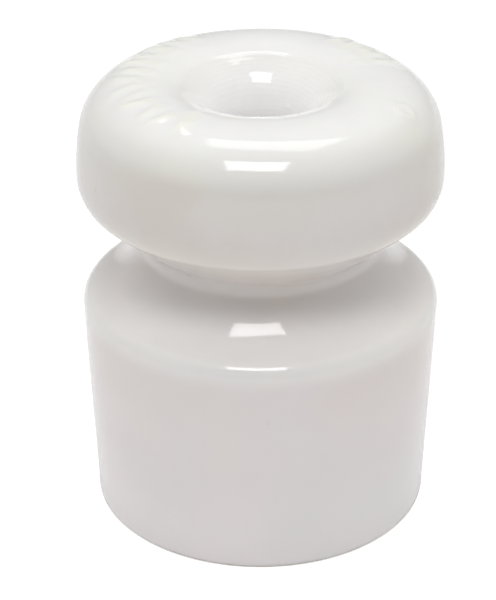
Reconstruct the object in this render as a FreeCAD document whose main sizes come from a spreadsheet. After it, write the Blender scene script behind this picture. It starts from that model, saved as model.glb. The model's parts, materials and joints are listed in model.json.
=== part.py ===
import FreeCAD, Part

# Fence insulator: a knob of glazed porcelain, screwed or nailed to a wooden post through its middle.
# It is one piece, turned about a vertical axis: a foot that leans out to a hollow shoulder, a waist
# that holds the fence wire, and a round head whose top flares down into a straight screw bore.
# Frame: millimetres, +Z up along the axis, origin at the centre of the flat foot.

import math
import os

import Sketcher

# The driving dimensions: name, value in millimetres or degrees, and what it is.
DIMENSIONS = [
    ("overall_height", 44.85, "foot to the crest of the head"),
    ("foot_radius", 16.81, "flat foot, before its edge is rounded"),
    ("foot_rounding", 0.2, "edge of the foot"),
    ("wall_lean", 2.37, "degrees that the wall leans out from the foot to the shoulder"),
    ("shoulder_height", 23.13, "where the shoulder's outer edge turns into its hollow"),
    ("shoulder_edge_radius", 1.77, "round between the wall and the shoulder"),
    ("shoulder_hollow_radius", 8.84, "the shoulder's hollow rise to the waist"),
    ("waist_radius", 11.87, "bottom of the wire groove"),
    ("waist_bottom_height", 27.46, "where the hollow shoulder meets the waist"),
    ("waist_top_height", 28.69, "where the waist meets the underside of the head"),
    ("waist_top_fillet", 0.75, "round between the waist and the underside of the head"),
    ("underside_slope", 40.0, "degrees that the underside of the head rises outwards"),
    ("underside_inner_radius", 1.36, "first round from the underside to the side of the head"),
    ("underside_outer_radius", 4.06, "second round, up to the widest point"),
    ("head_radius", 17.91, "widest point of the head"),
    ("head_widest_height", 35.46, "height of the widest point"),
    ("head_side_radius", 27.9, "almost upright stretch above the widest point"),
    ("head_corner_radius", 5.38, "round between the side and the top"),
    ("head_top_radius", 11.0, "last round, up to the crest"),
    ("bore_radius", 3.87, "straight screw bore"),
    ("flare_radius", 6.9, "round that opens the bore up to the crest"),
    ("bore_exit_chamfer", 0.5, "bore edge in the foot"),
]

# Turns of the rounds at the start of the solve, in degrees from level.
# The sketch's own constraints settle the exact values.
SHOULDER_TURN = 68.0
WAIST_TURN = 206.0
UNDERSIDE_TURN = -31.0
SIDE_TURN = 10.0
CORNER_TURN = 75.0

SAME_PLACE = 1e-3
NODE = "porcelain_body"

doc = FreeCAD.newDocument("fence_insulator")


def make_sheet():
    """The driving dimensions as a spreadsheet, one row each, with an alias."""
    sheet = doc.addObject("Spreadsheet::Sheet", "dims")
    for row, (alias, value, meaning) in enumerate(DIMENSIONS, start=1):
        sheet.set(f"A{row}", alias)
        sheet.set(f"B{row}", str(value))
        sheet.set(f"C{row}", meaning)
        sheet.setAlias(f"B{row}", alias)
    doc.recompute()
    return sheet


def origin_plane(body, role):
    """One of the body's own origin planes."""
    return next(feature for feature in body.Origin.OriginFeatures if feature.Role == role)


def line(start, end):
    """A straight edge of a sketch."""
    return Part.LineSegment(FreeCAD.Vector(*start, 0), FreeCAD.Vector(*end, 0))


def point_on(centre, radius, degrees):
    """The point of a circle at an angle from level."""
    turn = math.radians(degrees)
    return (centre[0] + radius * math.cos(turn), centre[1] + radius * math.sin(turn))


def arc(centre, radius, first, last):
    """An arc of a sketch, anticlockwise from one angle to the other, in degrees."""
    circle = Part.Circle(FreeCAD.Vector(*centre, 0), FreeCAD.Vector(0, 0, 1), radius)
    return Part.ArcOfCircle(circle, math.radians(first), math.radians(last))


def arc_through(point, radius, first, last, point_is_first=True):
    """An arc that starts, or ends, at a point, and the point at its other end."""
    known, other = (first, last) if point_is_first else (last, first)
    centre = point_on(point, -radius, known)
    return arc(centre, radius, first, last), point_on(centre, radius, other)


class Outline:
    """A sketch's edges and constraints, with the named ones bound to the sheet."""

    START, END, CENTRE = 1, 2, 3
    ROOT = (-1, 1)

    def __init__(self, sketch):
        self.sketch = sketch
        self.edges = {}

    def edge(self, name, geometry):
        self.edges[name] = self.sketch.addGeometry(geometry, False)

    def rule(self, kind, *parts):
        numbers = [self.edges.get(part, part) for part in parts]
        return self.sketch.addConstraint(Sketcher.Constraint(kind, *numbers))

    def sized(self, label, expression, kind, *parts):
        index = self.rule(kind, *parts)
        self.sketch.renameConstraint(index, label)
        self.sketch.setExpression(f"Constraints.{label}", expression)

    def smooth(self, first, first_end, second, second_end):
        self.rule("Tangent", first, first_end, second, second_end)

    def joined(self, first, first_end, second, second_end):
        self.rule("Coincident", first, first_end, second, second_end)


def draw_outline(sketch, size):
    """Half of the insulator's section: x is the distance from the axis, y is the height."""
    outline = Outline(sketch)
    add = outline.edge

    # Foot, wall, shoulder and waist.
    wall_angle = 90 - size.wall_lean
    foot_edge = (size.foot_radius, 0)
    wall_reach = size.shoulder_height * math.tan(math.radians(size.wall_lean))
    shoulder_outer = (size.foot_radius + wall_reach - size.shoulder_edge_radius, size.shoulder_height)
    shoulder_edge, wall_top = arc_through(
        shoulder_outer, size.shoulder_edge_radius, wall_angle - 90, SHOULDER_TURN, False
    )
    waist_bottom = (size.waist_radius, size.waist_bottom_height)
    hollow, _ = arc_through(
        waist_bottom, size.shoulder_hollow_radius, WAIST_TURN, SHOULDER_TURN + 180
    )
    waist_top = (size.waist_radius, size.waist_top_height)
    add("foot", line((size.bore_radius, 0), foot_edge))
    add("wall", line(foot_edge, wall_top))
    add("shoulder_edge", shoulder_edge)
    add("shoulder_hollow", hollow)
    add("waist", line(waist_bottom, waist_top))

    # Head: two rounds below its widest point and three above.
    widest = (size.head_radius, size.head_widest_height)
    lower, lower_start = arc_through(widest, size.underside_outer_radius, UNDERSIDE_TURN, 0, False)
    inner, inner_start = arc_through(
        lower_start, size.underside_inner_radius, size.underside_slope - 90, UNDERSIDE_TURN, False
    )
    side, side_end = arc_through(widest, size.head_side_radius, 0, SIDE_TURN)
    corner, corner_end = arc_through(side_end, size.head_corner_radius, SIDE_TURN, CORNER_TURN)
    top, top_end = arc_through(corner_end, size.head_top_radius, CORNER_TURN, 90)
    add("underside", line(waist_top, inner_start))
    add("underside_inner", inner)
    add("underside_outer", lower)
    add("head_side", side)
    add("head_corner", corner)
    add("head_top", top)

    # Flared mouth and straight bore.
    flare_centre = (top_end[0], top_end[1] - size.flare_radius)
    add("flare", arc(flare_centre, size.flare_radius, 90, 180))
    add("bore", line(point_on(flare_centre, size.flare_radius, 180), (size.bore_radius, 0)))

    start, end, centre, root = outline.START, outline.END, outline.CENTRE, outline.ROOT
    outline.joined("foot", end, "wall", start)
    outline.smooth("wall", end, "shoulder_edge", start)
    outline.smooth("shoulder_edge", end, "shoulder_hollow", end)
    outline.joined("shoulder_hollow", start, "waist", start)
    outline.joined("waist", end, "underside", start)
    outline.smooth("underside", end, "underside_inner", start)
    outline.smooth("underside_inner", end, "underside_outer", start)
    outline.smooth("underside_outer", end, "head_side", start)
    outline.smooth("head_side", end, "head_corner", start)
    outline.smooth("head_corner", end, "head_top", start)
    outline.smooth("head_top", end, "flare", start)
    outline.smooth("flare", end, "bore", start)
    outline.joined("bore", end, "foot", start)
    outline.rule("PointOnObject", "foot", start, root[0])
    outline.rule("Horizontal", "foot")
    outline.rule("Vertical", "waist")
    outline.rule("Vertical", "bore")
    outline.rule("Horizontal", "head_side", start, "head_side", centre)
    outline.rule("Vertical", "flare", start, "flare", centre)

    for label, edge in [
        ("shoulder_edge_radius", "shoulder_edge"),
        ("shoulder_hollow_radius", "shoulder_hollow"),
        ("underside_inner_radius", "underside_inner"),
        ("underside_outer_radius", "underside_outer"),
        ("head_side_radius", "head_side"),
        ("head_corner_radius", "head_corner"),
        ("head_top_radius", "head_top"),
        ("flare_radius", "flare"),
    ]:
        outline.sized(label, f"dims.{label}", "Radius", edge, getattr(size, label))

    for label, edge, end_point, direction in [
        ("bore_radius", "foot", start, "DistanceX"),
        ("foot_radius", "foot", end, "DistanceX"),
        ("shoulder_height", "shoulder_edge", end, "DistanceY"),
        ("waist_radius", "waist", start, "DistanceX"),
        ("waist_bottom_height", "waist", start, "DistanceY"),
        ("waist_top_height", "waist", end, "DistanceY"),
        ("head_radius", "head_side", start, "DistanceX"),
        ("head_widest_height", "head_side", start, "DistanceY"),
        ("overall_height", "flare", start, "DistanceY"),
    ]:
        outline.sized(label, f"dims.{label}", direction, *root, edge, end_point, getattr(size, label))

    for label, edge, degrees, expression in [
        ("wall_lean", "wall", wall_angle, "90 deg - dims.wall_lean * 1 deg"),
        ("underside_slope", "underside", size.underside_slope, "dims.underside_slope * 1 deg"),
    ]:
        outline.sized(label, expression, "Angle", edge, math.radians(degrees))


def circle_edge(shape, radius, height):
    """The name of the circular edge about the axis at a radius and a height."""
    for number, edge in enumerate(shape.Edges, start=1):
        curve = edge.Curve
        if not isinstance(curve, Part.Circle):
            continue
        if abs(curve.Radius - radius) < SAME_PLACE and abs(curve.Center.z - height) < SAME_PLACE:
            return f"Edge{number}"
    raise ValueError(f"no circle of radius {radius} at height {height}")


def dress_edge(body, kind, name, place, size_name, property_name):
    """Round or bevel one circular edge of the body, by the size in the sheet."""
    base = body.Tip
    feature = body.newObject(kind, name)
    feature.Base = (base, [circle_edge(base.Shape, *place)])
    feature.setExpression(property_name, f"dims.{size_name}")
    doc.recompute()
    if abs(feature.Shape.Volume - base.Shape.Volume) < SAME_PLACE:
        raise ValueError(f"{name} changed nothing")


def make_porcelain_body(size):
    """The insulator: its section turned once about the axis, then its sharp edges eased."""
    body = doc.addObject("PartDesign::Body", NODE)
    body.Label = NODE
    section = body.newObject("Sketcher::SketchObject", "section")
    section.AttachmentSupport = (origin_plane(body, "XZ_Plane"), [""])
    section.MapMode = "FlatFace"
    draw_outline(section, size)
    doc.recompute()
    if not section.FullyConstrained:
        raise ValueError("the section isn't fully constrained")

    turned = body.newObject("PartDesign::Revolution", "turned_form")
    turned.Profile = section
    turned.ReferenceAxis = (section, ["V_Axis"])
    turned.Angle = 360
    doc.recompute()

    waist_corner = (size.waist_radius, size.waist_top_height)
    dress_edge(body, "PartDesign::Fillet", "waist_top_round", waist_corner, "waist_top_fillet", "Radius")
    foot_edge = (size.foot_radius, 0)
    dress_edge(body, "PartDesign::Fillet", "foot_round", foot_edge, "foot_rounding", "Radius")
    bore_edge = (size.bore_radius, 0)
    dress_edge(body, "PartDesign::Chamfer", "bore_exit", bore_edge, "bore_exit_chamfer", "Size")
    return body


def check(body):
    """Stop unless every object is sound and the body is one valid solid."""
    for thing in doc.Objects:
        if "Invalid" in thing.State or "Error" in thing.State:
            raise ValueError(f"{thing.Name} failed: {thing.State}")
    shape = body.Shape
    if shape.isNull() or not shape.isValid() or len(shape.Solids) != 1:
        raise ValueError(f"{body.Label} isn't one valid solid")


dims = make_sheet()
insulator = make_porcelain_body(dims)
doc.recompute()
check(insulator)

os.makedirs("parts", exist_ok=True)
insulator.Shape.exportStep(f"parts/{insulator.Label}.step")
box = insulator.Shape.optimalBoundingBox()
print(f"{insulator.Label}: {box.XLength:.2f} x {box.YLength:.2f} x {box.ZLength:.2f} mm, ", end="")
print(f"{insulator.Shape.Volume / 1000:.2f} cm3")
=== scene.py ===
import json
import math

import bpy
import numpy as np
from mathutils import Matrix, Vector, noise


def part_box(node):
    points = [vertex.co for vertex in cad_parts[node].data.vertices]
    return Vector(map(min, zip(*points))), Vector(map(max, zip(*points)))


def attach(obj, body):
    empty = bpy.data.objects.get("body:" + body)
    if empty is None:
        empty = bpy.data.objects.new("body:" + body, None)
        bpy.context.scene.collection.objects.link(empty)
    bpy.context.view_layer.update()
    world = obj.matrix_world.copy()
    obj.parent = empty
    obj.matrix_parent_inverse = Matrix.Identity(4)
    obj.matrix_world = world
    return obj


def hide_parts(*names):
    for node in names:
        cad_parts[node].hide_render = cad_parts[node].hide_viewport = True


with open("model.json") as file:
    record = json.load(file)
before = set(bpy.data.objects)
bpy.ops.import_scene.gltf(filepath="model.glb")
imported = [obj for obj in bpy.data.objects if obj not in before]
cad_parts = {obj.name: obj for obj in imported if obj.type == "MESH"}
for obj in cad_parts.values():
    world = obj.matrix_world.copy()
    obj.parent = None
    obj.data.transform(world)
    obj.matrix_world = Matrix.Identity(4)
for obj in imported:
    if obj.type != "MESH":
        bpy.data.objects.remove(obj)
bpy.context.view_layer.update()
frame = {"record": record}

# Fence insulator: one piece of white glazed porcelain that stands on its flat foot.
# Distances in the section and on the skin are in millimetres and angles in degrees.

NODE = "porcelain_body"
MM = 0.001
LOW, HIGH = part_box(NODE)
HEIGHT = (HIGH[2] - LOW[2]) / MM
HEAD_RADIUS = (HIGH[0] - LOW[0]) / 2 / MM
BORE_RADIUS = next(m for m in frame["record"]["mounts"] if m["name"] == "screw_bore")["dims"]["r_mm"]

# The section, as the CAD model has it.
FOOT_RADIUS = 16.81
FOOT_ROUND = 0.25
WALL_LEAN = 2.37
SHOULDER_HEIGHT = 23.13
SHOULDER_SLOPE = 21.43
SHOULDER_EDGE = 1.77
SHOULDER_HOLLOW, HOLLOW_END = 8.84, 26.17
WAIST_TOP = 28.69
WAIST_TOP_FILLET = 0.75
UNDERSIDE_SLOPE = 40.0
UNDERSIDE_TURN = 31.03
UNDERSIDE_INNER, UNDERSIDE_OUTER = 1.36, 4.06
SIDE_RADIUS, SIDE_TURN = 27.9, 9.79
CORNER_RADIUS, CORNER_TURN = 5.38, 75.26
TOP_RADIUS = 11.0
FLARE_RADIUS = 6.9
BORE_EXIT = 0.5

# How finely the skin is made: faces around, and the space between rows in each zone.
AROUND = 320
FINE_STEP = 0.3
COARSE_STEP = 1.4
WALL_STEP, WALL_LOW, WALL_HIGH = 0.5, 1.0, 21.0
RIPPLE_STEP, FLARE_EDGE, FLARE_LOW = 0.12, 8.2, 38.5

# How far the glaze eases the section's corners.
SOFTEN = 0.22

# Marks in the clay of the head's top: two groups of plain radial ribs, softened by the glaze.
# Each group: azimuth of its middle from the front, half its spread, number of ribs.
RIB_GROUPS = [(-90, 55, 13), (126, 16, 5)]
RIB_RADIUS, RIB_REACH = 12.4, 2.6
RIB_WIDTH, RIB_HEIGHT = 0.5, 0.2

# How far one rib may differ from the next: its turn, lean and place, and shares of its size.
RIB_SEED = 7
RIB_TURN, RIB_LEAN, RIB_SHIFT = 1.3, 24, 0.5
REACH_RANGE, HEIGHT_RANGE, WIDTH_RANGE = (0.7, 1.1), (0.55, 1.0), (0.8, 1.25)

# A rib fades out between these shares of its reach, and in between these heights.
RIB_FULL, RIB_END = 0.4, 1.1
RIB_LOW, RIB_HIGH = 40.5, 43

# A small ring on the head's top, such as a bubble in the glaze leaves.
RING_AZIMUTH, RING_PLACE, RING_SIZE = 66, 14.7, 0.75
RING_HEIGHT, RING_WIDTH = 0.13, 0.24

# The mouth of the well: turning ripples in the flare, and a lip that isn't quite even.
RIPPLE_LENGTH, RIPPLE_HEIGHT, RIPPLE_WANDER = 0.5, 0.0035, 0.6
RIPPLE_LOW, RIPPLE_HIGH = 37.5, 39.5
RIPPLE_INNER, RIPPLE_OUTER = 8.0, 9.2
LIP_RADIUS, LIP_HEIGHT, LIP_WIDTH, LIP_WANDER = 7.8, 0.05, 0.3, 0.25
MOUTH_RADIUS, MOUTH_WIDTH = 8.8, 1.4
LIP_LOW, LIP_HIGH = 42, 43.5

# The random waves of the skin: their length, their seed, and how far they move it.
SHAPE_SIZE, SHAPE_SEED, SHAPE_HEIGHT = 16, 1, 0.06
WAVE_SIZE, WAVE_SEED, WAVE_HEIGHT = 4.5, 2, 0.012
MOUTH_SIZE, MOUTH_SEED, MOUTH_HEIGHT = 2.4, 3, 0.03
WANDER_SIZE, WANDER_SEED = 3.1, 4
SEED_STEPS = (17.3, 5.1, 9.7)

# The longest waves are set inwards by this share, so the skin stays inside the CAD model's box.
SHAPE_INSET = 0.8

# The skin keeps to the true section at the foot and eases into its unevenness above it.
FOOT_CALM = 1.5

# The clay is bare below these heights, on the foot and in the bore.
FOOT_BARE, BORE_BARE = 0.12, 12

# A point this near the bore's radius counts as in the bore.
BORE_MARGIN = 0.05

# The well's painted light, a paler colour standing in for light bounced inside it, fades out between
# these distances from the axis, in between these heights.
WELL_FULL, WELL_END = 4.4, 8.0
WELL_LOW, WELL_HIGH = 30, 36

# The glaze's colour by height, part its own tint and part painted light and shade: pinkish wall,
# paler towards the foot; paler shoulder and crest as painted light from above; darker, warm side of
# the head, its own tint with painted shade; painted shade in the waist, darkest under the head.
GLAZE_TINT_AND_SHADE_BANDS = [
    (2, (0.85, 0.805, 0.805)),
    (12, (0.79, 0.735, 0.73)),
    (20, (0.76, 0.70, 0.68)),
    (22.5, (0.82, 0.80, 0.77)),
    (24.5, (0.85, 0.815, 0.79)),
    (27.5, (0.78, 0.725, 0.685)),
    (30, (0.66, 0.60, 0.565)),
    (33, (0.77, 0.725, 0.67)),
    (36, (0.685, 0.64, 0.60)),
    (40, (0.69, 0.65, 0.595)),
    (42.5, (0.77, 0.765, 0.71)),
    (44.8, (0.82, 0.817, 0.795)),
]
CLOUD_WHITE = (0.75, 0.742, 0.75)
RIDGE_WHITE = (0.82, 0.82, 0.73)
# Painted light: the well's paler colour, for light bounced inside it.
WELL_PAINTED_LIGHT = (0.90, 0.89, 0.885)
SPECK = (0.62, 0.58, 0.52)
CLAY_LIGHT = (0.78, 0.74, 0.68)
CLAY_DARK = (0.66, 0.61, 0.55)

# The details of the glaze: noise scales, the values that each spans, and its share or height.
CLOUD_SCALE, CLOUD_SPAN, CLOUD_SHARE = 85, (0.35, 0.65), 0.45
RIDGE_SPAN, RIDGE_SHARE = (0.1, 0.9), 0.6
SPECK_SCALE, SPECK_EDGE, SPECK_SHARE = 260, (0.05, 0.09), 0.35
RARE_SCALE, RARE_SPAN = 90, (0.62, 0.7)
GLOSS_SCALE, GLOSS_SPAN, GLAZE_ROUGHNESS = 120, (0.3, 0.7), (0.06, 0.11)
RIPPLED_SCALE, RIPPLED_STRENGTH, RIPPLED_HEIGHT = 420, 0.25, 0.06 * MM
PIT_STRENGTH, PIT_DEPTH = -0.5, 0.1 * MM
GLAZE_IOR = 1.52
GLOW_SHARE, GLOW_REACH, GLOW_DEPTH = 0.25, (1.0, 0.95, 0.9), 1.2 * MM

# The same for the bare clay.
CLAY_SCALE, CLAY_SPAN = 900, (0.35, 0.65)
CHALK_SCALE, CHALK_SPAN, CLAY_ROUGHNESS = 1500, (0.3, 0.7), (0.75, 0.95)
GRAIN_SCALE, GRAIN_STRENGTH, GRAIN_HEIGHT = 2600, 0.5, 0.05 * MM

# The floor: half its side in metres, its two tints, and how it takes the light.
FLOOR_REACH = 1.5
FLOOR_PALE = (0.93, 0.93, 0.93)
FLOOR_PALER = (0.95, 0.95, 0.95)
FLOOR_SCALE, FLOOR_ROUGHNESS, FLOOR_SPECULAR = 3, 0.9, 0.1
FLOOR_LIFT = 0.4

# The light tent: an even level, and glows that rise from one value of an axis to another.
TENT_LEVEL = 0.08
TENT_GLOWS = [
    ("Z", 0.45, 0.95, 0.64),
    ("Y", -0.3, 0.5, 0.26),
    ("X", 0.0, 0.8, 0.28),
    ("X", 0.0, -0.8, 0.31),
]

# How far the softboxes are from the camera's aim, in metres.
LIGHT_DISTANCE = 0.6

# Camera: long lens, looking down at the photograph's angle.
AIM = Vector((0, 0, LOW[2] + 21.5 * MM))
CAMERA_ELEVATION = math.radians(28.46)
CAMERA_DISTANCE = 217.4 * MM
LENS = 130.4
SHIFT_X, SHIFT_Y = -0.0208, -0.0110


def facing(degrees):
    """The outward direction at an angle above level, in the section's plane."""
    turn = math.radians(degrees)
    return np.array([math.cos(turn), math.sin(turn)])


class Pen:
    """Draws the section as a chain of runs and rounds that stay tangent."""

    STEP = 0.05

    def __init__(self, start, outward):
        self.points = [np.array(start, float)]
        self.outward = outward

    def run(self, length):
        along = facing(self.outward + 90)
        count = max(1, round(length / self.STEP))
        start = self.points[-1]
        self.points += [start + along * length * (i + 1) / count for i in range(count)]

    def run_to_height(self, height):
        self.run((height - self.points[-1][1]) / facing(self.outward + 90)[1])

    def run_to_radius(self, radius):
        self.run((radius - self.points[-1][0]) / facing(self.outward + 90)[0])

    def round(self, radius, outward):
        """A round up to an outward angle. A negative radius is a hollow one."""
        centre = self.points[-1] - radius * facing(self.outward)
        length = abs(radius * math.radians(outward - self.outward))
        count = max(2, round(length / self.STEP))
        angles = np.linspace(self.outward, outward, count + 1)[1:]
        self.points += [centre + radius * facing(angle) for angle in angles]
        self.outward = outward


def section():
    """The glazed line of the section: up the outside, over the head and down the flare."""
    pen = Pen((FOOT_RADIUS - FOOT_ROUND, 0), -90)
    pen.round(FOOT_ROUND, -WALL_LEAN)
    edge_rise = SHOULDER_EDGE * (facing(90 - SHOULDER_SLOPE)[1] + facing(WALL_LEAN)[1])
    pen.run_to_height(SHOULDER_HEIGHT - edge_rise)
    pen.round(SHOULDER_EDGE, 90 - SHOULDER_SLOPE)
    pen.round(-SHOULDER_HOLLOW, HOLLOW_END)

    # The hollow meets the upright waist at an edge, so the pen turns without a round.
    pen.outward = 0
    underside = UNDERSIDE_SLOPE - 90
    pen.run_to_height(WAIST_TOP - WAIST_TOP_FILLET * math.tan(math.radians(-underside / 2)))
    pen.round(-WAIST_TOP_FILLET, underside)
    inner = UNDERSIDE_INNER * (facing(-UNDERSIDE_TURN) - facing(underside))
    outer = UNDERSIDE_OUTER * (facing(0) - facing(-UNDERSIDE_TURN))
    pen.run_to_radius(HEAD_RADIUS - inner[0] - outer[0])
    pen.round(UNDERSIDE_INNER, -UNDERSIDE_TURN)
    pen.round(UNDERSIDE_OUTER, 0)
    pen.round(SIDE_RADIUS, SIDE_TURN)
    pen.round(CORNER_RADIUS, CORNER_TURN)
    pen.round(TOP_RADIUS, 90)
    pen.round(FLARE_RADIUS, 180)
    return np.array(pen.points)


def resampled(points, step_at):
    """The same line with its points spaced by a step that depends on the place."""
    lengths = np.hypot(*np.diff(points, axis=0).T)
    reach = np.concatenate([[0], np.cumsum(lengths)])
    kept, here = [points[0]], 0.0
    while True:
        here += step_at(kept[-1])
        if here >= reach[-1]:
            break
        kept.append(np.array([np.interp(here, reach, points[:, axis]) for axis in range(2)]))
    kept.append(points[-1])
    return np.array(kept)


def softened(points, amount):
    """The line with its corners eased as glaze eases them; its two ends stay."""
    count = int(3 * amount / Pen.STEP)
    weights = np.exp(-0.5 * (np.arange(-count, count + 1) * Pen.STEP / amount) ** 2)
    weights /= weights.sum()
    eased = points.copy()
    for axis in range(2):
        padded = np.pad(points[:, axis], count, mode="reflect", reflect_type="odd")
        eased[:, axis] = np.convolve(padded, weights, mode="valid")
    return eased


def row_step(place):
    """The space between the skin's rows: finest in the rippled flare, wider on the plain wall."""
    radius, height = place
    if radius < FLARE_EDGE and height > FLARE_LOW:
        return RIPPLE_STEP
    if WALL_LOW < height < WALL_HIGH:
        return WALL_STEP
    return FINE_STEP


def coarse_step(place):
    """The space between rows where the skin is plain and hidden."""
    return COARSE_STEP


def skin_line():
    """The whole closed section: the glazed line, then down the bore and out under the foot."""
    outside = resampled(softened(section(), SOFTEN), row_step)
    pen = Pen((BORE_RADIUS, outside[-1][1]), 180)
    pen.run_to_height(BORE_EXIT)
    bore = resampled(np.array(pen.points), coarse_step)
    bevel = np.array([[BORE_RADIUS + BORE_EXIT / 2, BORE_EXIT / 2], [BORE_RADIUS + BORE_EXIT, 0]])
    foot = np.array([[BORE_RADIUS + BORE_EXIT, 0], [FOOT_RADIUS - FOOT_ROUND, 0]])
    foot = resampled(foot, coarse_step)
    return np.vstack([outside, bore[1:], bevel, foot[1:-1]])


def bell(distance, width):
    """A smooth bump: 1 at no distance, fading over the width."""
    return np.exp(-0.5 * (distance / width) ** 2)


def steps(value, low, high):
    """A smooth step from 0 at low to 1 at high."""
    part = np.clip((value - low) / (high - low), 0, 1)
    return part * part * (3 - 2 * part)


def noise_field(places, size, seed):
    """Smooth random values, about -1 to 1, over places in millimetres."""
    shift = Vector([seed * step for step in SEED_STEPS])
    values = [noise.noise(Vector(place) / size + shift) for place in places.reshape(-1, 3)]
    return np.array(values).reshape(places.shape[:-1])


def rib_relief(radius, azimuth):
    """How far the ribs and the one small ring stand out of the head's top."""
    picks = np.random.default_rng(RIB_SEED)
    relief = np.zeros_like(radius)
    for middle, spread, count in RIB_GROUPS:
        for place in np.linspace(-spread, spread, count):
            turn = math.radians(middle + place + picks.uniform(-RIB_TURN, RIB_TURN))
            lean = math.radians(picks.uniform(-RIB_LEAN, RIB_LEAN))
            centre = RIB_RADIUS + picks.uniform(-RIB_SHIFT, RIB_SHIFT)
            reach = RIB_REACH * picks.uniform(*REACH_RANGE)
            height = RIB_HEIGHT * picks.uniform(*HEIGHT_RANGE)
            width = RIB_WIDTH * picks.uniform(*WIDTH_RANGE)
            across = radius * np.sin(azimuth - turn - lean * (radius - centre) / centre)
            along = np.abs(radius * np.cos(azimuth - turn) - centre)
            fading = 1 - steps(along, reach * RIB_FULL, reach * RIB_END)
            relief += height * bell(across, width) * fading
    off = azimuth - math.radians(RING_AZIMUTH)
    away = np.hypot(radius * np.cos(off) - RING_PLACE, radius * np.sin(off))
    return relief + RING_HEIGHT * bell(away - RING_SIZE, RING_WIDTH)


def hand_work(places, radius, height, azimuth, along):
    """How far the skin stands from the true section, and how much of that is the ribs."""
    ribs = rib_relief(radius, azimuth) * steps(height, RIB_LOW, RIB_HIGH)
    wander = noise_field(places, WANDER_SIZE, WANDER_SEED)
    in_flare = steps(height, RIPPLE_LOW, RIPPLE_HIGH)
    in_flare *= 1 - steps(radius, RIPPLE_INNER, RIPPLE_OUTER)
    phase = along / RIPPLE_LENGTH + RIPPLE_WANDER * wander
    ripples = RIPPLE_HEIGHT * np.cos(2 * math.pi * phase) * in_flare
    at_lip = steps(height, LIP_LOW, LIP_HIGH)
    lip = LIP_HEIGHT * bell(radius - LIP_RADIUS - LIP_WANDER * wander, LIP_WIDTH) * at_lip
    shape = SHAPE_HEIGHT * (noise_field(places, SHAPE_SIZE, SHAPE_SEED) - SHAPE_INSET)
    waves = WAVE_HEIGHT * noise_field(places, WAVE_SIZE, WAVE_SEED)
    mouth = MOUTH_HEIGHT * noise_field(places, MOUTH_SIZE, MOUTH_SEED)
    mouth *= bell(radius - MOUTH_RADIUS, MOUTH_WIDTH) * at_lip
    return ribs + ripples + lip + shape + waves + mouth, ribs


def turned(radius, height, azimuth):
    """Places in millimetres, with azimuth 0 at the front (-Y) and turning towards +X."""
    return np.stack([radius * np.sin(azimuth), -radius * np.cos(azimuth), height], axis=-1)


def skin_surface(line):
    """The skin's places, the ribs' height and the true radius and height at each of them."""
    along = np.concatenate([[0], np.cumsum(np.hypot(*np.diff(line, axis=0).T))])
    slope = np.roll(line, -1, axis=0) - np.roll(line, 1, axis=0)
    slope /= np.hypot(slope[:, 0], slope[:, 1])[:, None]
    turn = np.linspace(0, 2 * math.pi, AROUND, endpoint=False)
    radius = np.repeat(line[:, :1], AROUND, axis=1)
    height = np.repeat(line[:, 1:], AROUND, axis=1)
    azimuth = np.repeat(turn[None, :], len(line), axis=0)
    true_places = turned(radius, height, azimuth)
    lift, ribs = hand_work(true_places, radius, height, azimuth, along[:, None])
    lift *= steps(height, 0.0, FOOT_CALM) * (1 - (radius < BORE_RADIUS + BORE_MARGIN))
    places = turned(radius + lift * slope[:, 1:], height - lift * slope[:, :1], azimuth)
    places = np.clip(places, np.array(LOW) / MM, np.array(HIGH) / MM)
    return places, ribs, radius, height


def ring_corners(rows, columns):
    """The corners of the faces between rows of points that close both ways."""
    index = np.arange(rows * columns).reshape(rows, columns)
    below = np.roll(index, -1, axis=0)
    right = np.roll(index, -1, axis=1)
    below_right = np.roll(below, -1, axis=1)
    return np.stack([index, right, below_right, below], axis=-1).reshape(-1, 4)


def store(mesh, name, values):
    """A number at each point of the mesh, for the materials to read."""
    attribute = mesh.attributes.new(name, "FLOAT", "POINT")
    attribute.data.foreach_set("value", values.reshape(-1).astype(np.float32))


def make_skin():
    """The insulator's skin: the section turned about the axis, with its hand-made unevenness."""
    line = skin_line()
    places, ribs, radius, height = skin_surface(line)
    corners = ring_corners(len(line), AROUND)
    mesh = bpy.data.meshes.new("porcelain_skin")
    mesh.from_pydata((places.reshape(-1, 3) * MM).tolist(), [], corners.tolist())
    store(mesh, "relief", ribs / RIB_HEIGHT)
    # Painted light: how much of the well's paler colour, for light bounced inside it, each point
    # takes.
    painted_well_light = (1 - steps(radius, WELL_FULL, WELL_END)) * steps(height, WELL_LOW, WELL_HIGH)
    store(mesh, "well", painted_well_light)
    mesh.materials.append(glaze())
    mesh.materials.append(bare_clay())
    in_bore = line[:, 0] < BORE_RADIUS + BORE_MARGIN
    bare_row = (line[:, 1] < FOOT_BARE) | in_bore & (line[:, 1] < BORE_BARE)
    mesh.polygons.foreach_set("material_index", np.repeat(bare_row, AROUND).astype(np.int32))
    mesh.polygons.foreach_set("use_smooth", np.ones(len(corners), bool))
    mesh.update()
    piece = bpy.data.objects.new("porcelain_body_glazed", mesh)
    bpy.context.scene.collection.objects.link(piece)
    return piece


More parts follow.
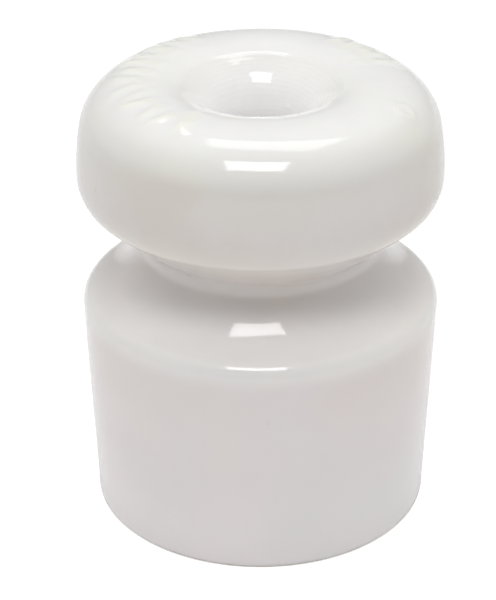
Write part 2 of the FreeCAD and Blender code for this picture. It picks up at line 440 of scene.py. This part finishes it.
class Nodes:
    """Short ways to build a material's node tree."""

    def __init__(self, material):
        material.use_nodes = True
        self.tree = material.node_tree
        self.shader = self.tree.nodes["Principled BSDF"]
        self.place = self.add("ShaderNodeTexCoord").outputs["Object"]

    def add(self, kind, **values):
        node = self.tree.nodes.new(kind)
        for name, value in values.items():
            setattr(node, name, value)
        return node

    def link(self, output, entry):
        self.tree.links.new(output, entry)

    def noise(self, scale, detail, rough=0.5):
        node = self.add("ShaderNodeTexNoise")
        self.link(self.place, node.inputs["Vector"])
        node.inputs["Scale"].default_value = scale
        node.inputs["Detail"].default_value = detail
        node.inputs["Roughness"].default_value = rough
        return node.outputs["Fac"]

    def spread(self, value, low, high, new_low=0.0, new_high=1.0, kind="SMOOTHSTEP"):
        """A value's range from low to high, stretched to another range."""
        node = self.add("ShaderNodeMapRange", interpolation_type=kind)
        self.link(value, node.inputs["Value"])
        node.inputs["From Min"].default_value = low
        node.inputs["From Max"].default_value = high
        node.inputs["To Min"].default_value = new_low
        node.inputs["To Max"].default_value = new_high
        return node.outputs["Result"]

    def bands(self, share, stops):
        """A colour that follows a share of the height through stops given in millimetres."""
        node = self.add("ShaderNodeValToRGB")
        node.color_ramp.interpolation = "EASE"
        elements = node.color_ramp.elements
        elements[0].position, elements[1].position = 0, 1
        for place, colour in stops[1:-1]:
            elements.new(place / HEIGHT)
        for element, (place, colour) in zip(elements, stops):
            element.position = place / HEIGHT
            element.color = (*colour, 1)
        self.link(share, node.inputs["Fac"])
        return node.outputs["Color"]

    def mix(self, amount, first, second):
        """A colour between two, each a colour or another node's output."""
        node = self.add("ShaderNodeMix", data_type="RGBA")
        self.link(amount, node.inputs["Factor"])
        for name, value in (("A", first), ("B", second)):
            entry = next(e for e in node.inputs if e.name == name and e.type == "RGBA")
            if isinstance(value, tuple):
                entry.default_value = (*value, 1)
            else:
                self.link(value, entry)
        return next(o for o in node.outputs if o.type == "RGBA")

    def bump(self, height, strength, distance, under=None):
        node = self.add("ShaderNodeBump")
        self.link(height, node.inputs["Height"])
        node.inputs["Strength"].default_value = strength
        node.inputs["Distance"].default_value = distance
        if under is not None:
            self.link(under, node.inputs["Normal"])
        return node.outputs["Normal"]

    def specks(self):
        """Rare small spots: 1 in a speck or pinhole and 0 elsewhere."""
        cells = self.add("ShaderNodeTexVoronoi", feature="F1")
        self.link(self.place, cells.inputs["Vector"])
        cells.inputs["Scale"].default_value = SPECK_SCALE
        spot = self.add("ShaderNodeMath", operation="MULTIPLY")
        self.link(self.spread(cells.outputs["Distance"], *SPECK_EDGE, 1.0, 0.0), spot.inputs[0])
        self.link(self.spread(self.noise(RARE_SCALE, detail=0), *RARE_SPAN), spot.inputs[1])
        return spot.outputs[0]


def glaze():
    """Glossy white glaze: tinted by height with painted light and shade, cloudy, painted paler in the
    well for light bounced inside it, with waves and pinholes.
    """
    material = bpy.data.materials.new("glazed_porcelain")
    n = Nodes(material)
    axes = n.add("ShaderNodeSeparateXYZ")
    n.link(n.place, axes.inputs[0])
    share = n.spread(axes.outputs["Z"], LOW[2], HIGH[2], kind="LINEAR")
    # Painted light and shade by height: paler crest and shoulder, darker head side, painted shade in
    # the waist and under the head.
    colour = n.bands(share, GLAZE_TINT_AND_SHADE_BANDS)
    clouds = n.spread(n.noise(CLOUD_SCALE, detail=5), *CLOUD_SPAN, 0.0, CLOUD_SHARE)
    colour = n.mix(clouds, colour, CLOUD_WHITE)
    # Painted light in the well: a paler colour standing in for light bounced inside it.
    well = n.add("ShaderNodeAttribute", attribute_name="well").outputs["Fac"]
    colour = n.mix(well, colour, WELL_PAINTED_LIGHT)
    relief = n.add("ShaderNodeAttribute", attribute_name="relief").outputs["Fac"]
    colour = n.mix(n.spread(relief, *RIDGE_SPAN, 0.0, RIDGE_SHARE), colour, RIDGE_WHITE)
    specks = n.specks()
    colour = n.mix(n.spread(specks, 0, 1, 0.0, SPECK_SHARE), colour, SPECK)
    n.link(colour, n.shader.inputs["Base Color"])
    roughness = n.spread(n.noise(GLOSS_SCALE, detail=4), *GLOSS_SPAN, *GLAZE_ROUGHNESS)
    n.link(roughness, n.shader.inputs["Roughness"])
    waves = n.bump(n.noise(RIPPLED_SCALE, detail=2), RIPPLED_STRENGTH, RIPPLED_HEIGHT)
    n.link(n.bump(specks, PIT_STRENGTH, PIT_DEPTH, waves), n.shader.inputs["Normal"])
    n.shader.inputs["IOR"].default_value = GLAZE_IOR
    n.shader.inputs["Subsurface Weight"].default_value = GLOW_SHARE
    n.shader.inputs["Subsurface Radius"].default_value = GLOW_REACH
    n.shader.inputs["Subsurface Scale"].default_value = GLOW_DEPTH
    return material


def bare_clay():
    """Fired clay without glaze: matt, slightly warm and grainy."""
    material = bpy.data.materials.new("bare_porcelain")
    n = Nodes(material)
    blotches = n.noise(CLAY_SCALE, detail=5, rough=0.7)
    colour = n.mix(n.spread(blotches, *CLAY_SPAN), CLAY_LIGHT, CLAY_DARK)
    n.link(colour, n.shader.inputs["Base Color"])
    roughness = n.spread(n.noise(CHALK_SCALE, detail=3), *CHALK_SPAN, *CLAY_ROUGHNESS)
    n.link(roughness, n.shader.inputs["Roughness"])
    grain = n.bump(n.noise(GRAIN_SCALE, detail=4), GRAIN_STRENGTH, GRAIN_HEIGHT)
    n.link(grain, n.shader.inputs["Normal"])
    return material


def make_floor():
    """A plain pale floor, lifted to white for the camera only."""
    size, level = FLOOR_REACH, LOW[2]
    mesh = bpy.data.meshes.new("floor")
    corners = [(-size, -size, level), (size, -size, level), (size, size, level), (-size, size, level)]
    mesh.from_pydata(corners, [], [(0, 1, 2, 3)])
    floor = bpy.data.objects.new("floor", mesh)
    bpy.context.scene.collection.objects.link(floor)
    material = bpy.data.materials.new("pale_floor")
    n = Nodes(material)
    colour = n.mix(n.noise(FLOOR_SCALE, detail=2), FLOOR_PALE, FLOOR_PALER)
    n.link(colour, n.shader.inputs["Base Color"])
    n.shader.inputs["Roughness"].default_value = FLOOR_ROUGHNESS
    n.shader.inputs["Specular IOR Level"].default_value = FLOOR_SPECULAR
    n.shader.inputs["Emission Color"].default_value = (1, 1, 1, 1)
    seen = n.add("ShaderNodeLightPath").outputs["Is Camera Ray"]
    n.link(n.spread(seen, 0, 1, 0.0, FLOOR_LIFT), n.shader.inputs["Emission Strength"])
    mesh.materials.append(material)


def towards(azimuth, elevation):
    """The direction at an azimuth from the front, towards +X, and an elevation, in radians."""
    level = math.cos(elevation)
    return Vector((math.sin(azimuth) * level, -math.cos(azimuth) * level, math.sin(elevation)))


def softbox(name, azimuth, elevation, width, height, radiance):
    """A rectangular light that faces the object, with its angles in degrees and size in metres."""
    data = bpy.data.lights.new(name, "AREA")
    data.shape = "RECTANGLE"
    data.size, data.size_y = width, height
    data.energy = radiance * math.pi * width * height
    light = bpy.data.objects.new(name, data)
    direction = towards(math.radians(azimuth), math.radians(elevation))
    light.location = AIM + direction * LIGHT_DISTANCE
    light.rotation_euler = direction.to_track_quat("Z", "Y").to_euler()
    light.visible_camera = False
    bpy.context.scene.collection.objects.link(light)


def tent_strength(tree):
    """The strength of the light tent by direction: its level with the glows added."""
    place = tree.nodes.new("ShaderNodeTexCoord")
    axes = tree.nodes.new("ShaderNodeSeparateXYZ")
    tree.links.new(place.outputs["Generated"], axes.inputs[0])
    level = tree.nodes.new("ShaderNodeValue")
    level.outputs[0].default_value = TENT_LEVEL
    total = level.outputs[0]
    for axis, low, high, rise in TENT_GLOWS:
        glow = tree.nodes.new("ShaderNodeMapRange")
        glow.interpolation_type = "SMOOTHSTEP"
        tree.links.new(axes.outputs[axis], glow.inputs["Value"])
        glow.inputs["From Min"].default_value = low
        glow.inputs["From Max"].default_value = high
        glow.inputs["To Max"].default_value = rise
        both = tree.nodes.new("ShaderNodeMath")
        tree.links.new(total, both.inputs[0])
        tree.links.new(glow.outputs["Result"], both.inputs[1])
        total = both.outputs[0]
    return total


def make_surround():
    """A white room to the camera, and a softly uneven light tent to the object."""
    world = bpy.data.worlds.new("white_room")
    bpy.context.scene.world = world
    world.use_nodes = True
    tree = world.node_tree
    tent = tree.nodes["Background"]
    tent.inputs["Color"].default_value = (1, 1, 1, 1)
    tree.links.new(tent_strength(tree), tent.inputs["Strength"])
    white = tree.nodes.new("ShaderNodeBackground")
    white.inputs["Color"].default_value = (1, 1, 1, 1)
    seen = tree.nodes.new("ShaderNodeLightPath").outputs["Is Camera Ray"]
    either = tree.nodes.new("ShaderNodeMixShader")
    tree.links.new(seen, either.inputs[0])
    tree.links.new(tent.outputs[0], either.inputs[1])
    tree.links.new(white.outputs[0], either.inputs[2])
    tree.links.new(either.outputs[0], tree.nodes["World Output"].inputs["Surface"])


def make_camera():
    """The camera, in front of the object and above it."""
    data = bpy.data.cameras.new("camera")
    data.lens = LENS
    data.shift_x, data.shift_y = SHIFT_X, SHIFT_Y
    data.clip_start, data.clip_end = 0.01, 10
    camera = bpy.data.objects.new("camera", data)
    direction = towards(0, CAMERA_ELEVATION)
    camera.location = AIM + direction * CAMERA_DISTANCE
    camera.rotation_euler = direction.to_track_quat("Z", "Y").to_euler()
    bpy.context.scene.collection.objects.link(camera)
    bpy.context.scene.camera = camera


bpy.context.scene.view_settings.view_transform = "Standard"
make_camera()
skin = make_skin()
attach(skin, "root")
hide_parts(NODE)
make_floor()
make_surround()
softbox("front_softbox", azimuth=-3.5, elevation=62.6, width=0.285, height=0.185, radiance=7.5)
softbox("back_strip", azimuth=166.5, elevation=72.7, width=0.36, height=0.225, radiance=2.5)
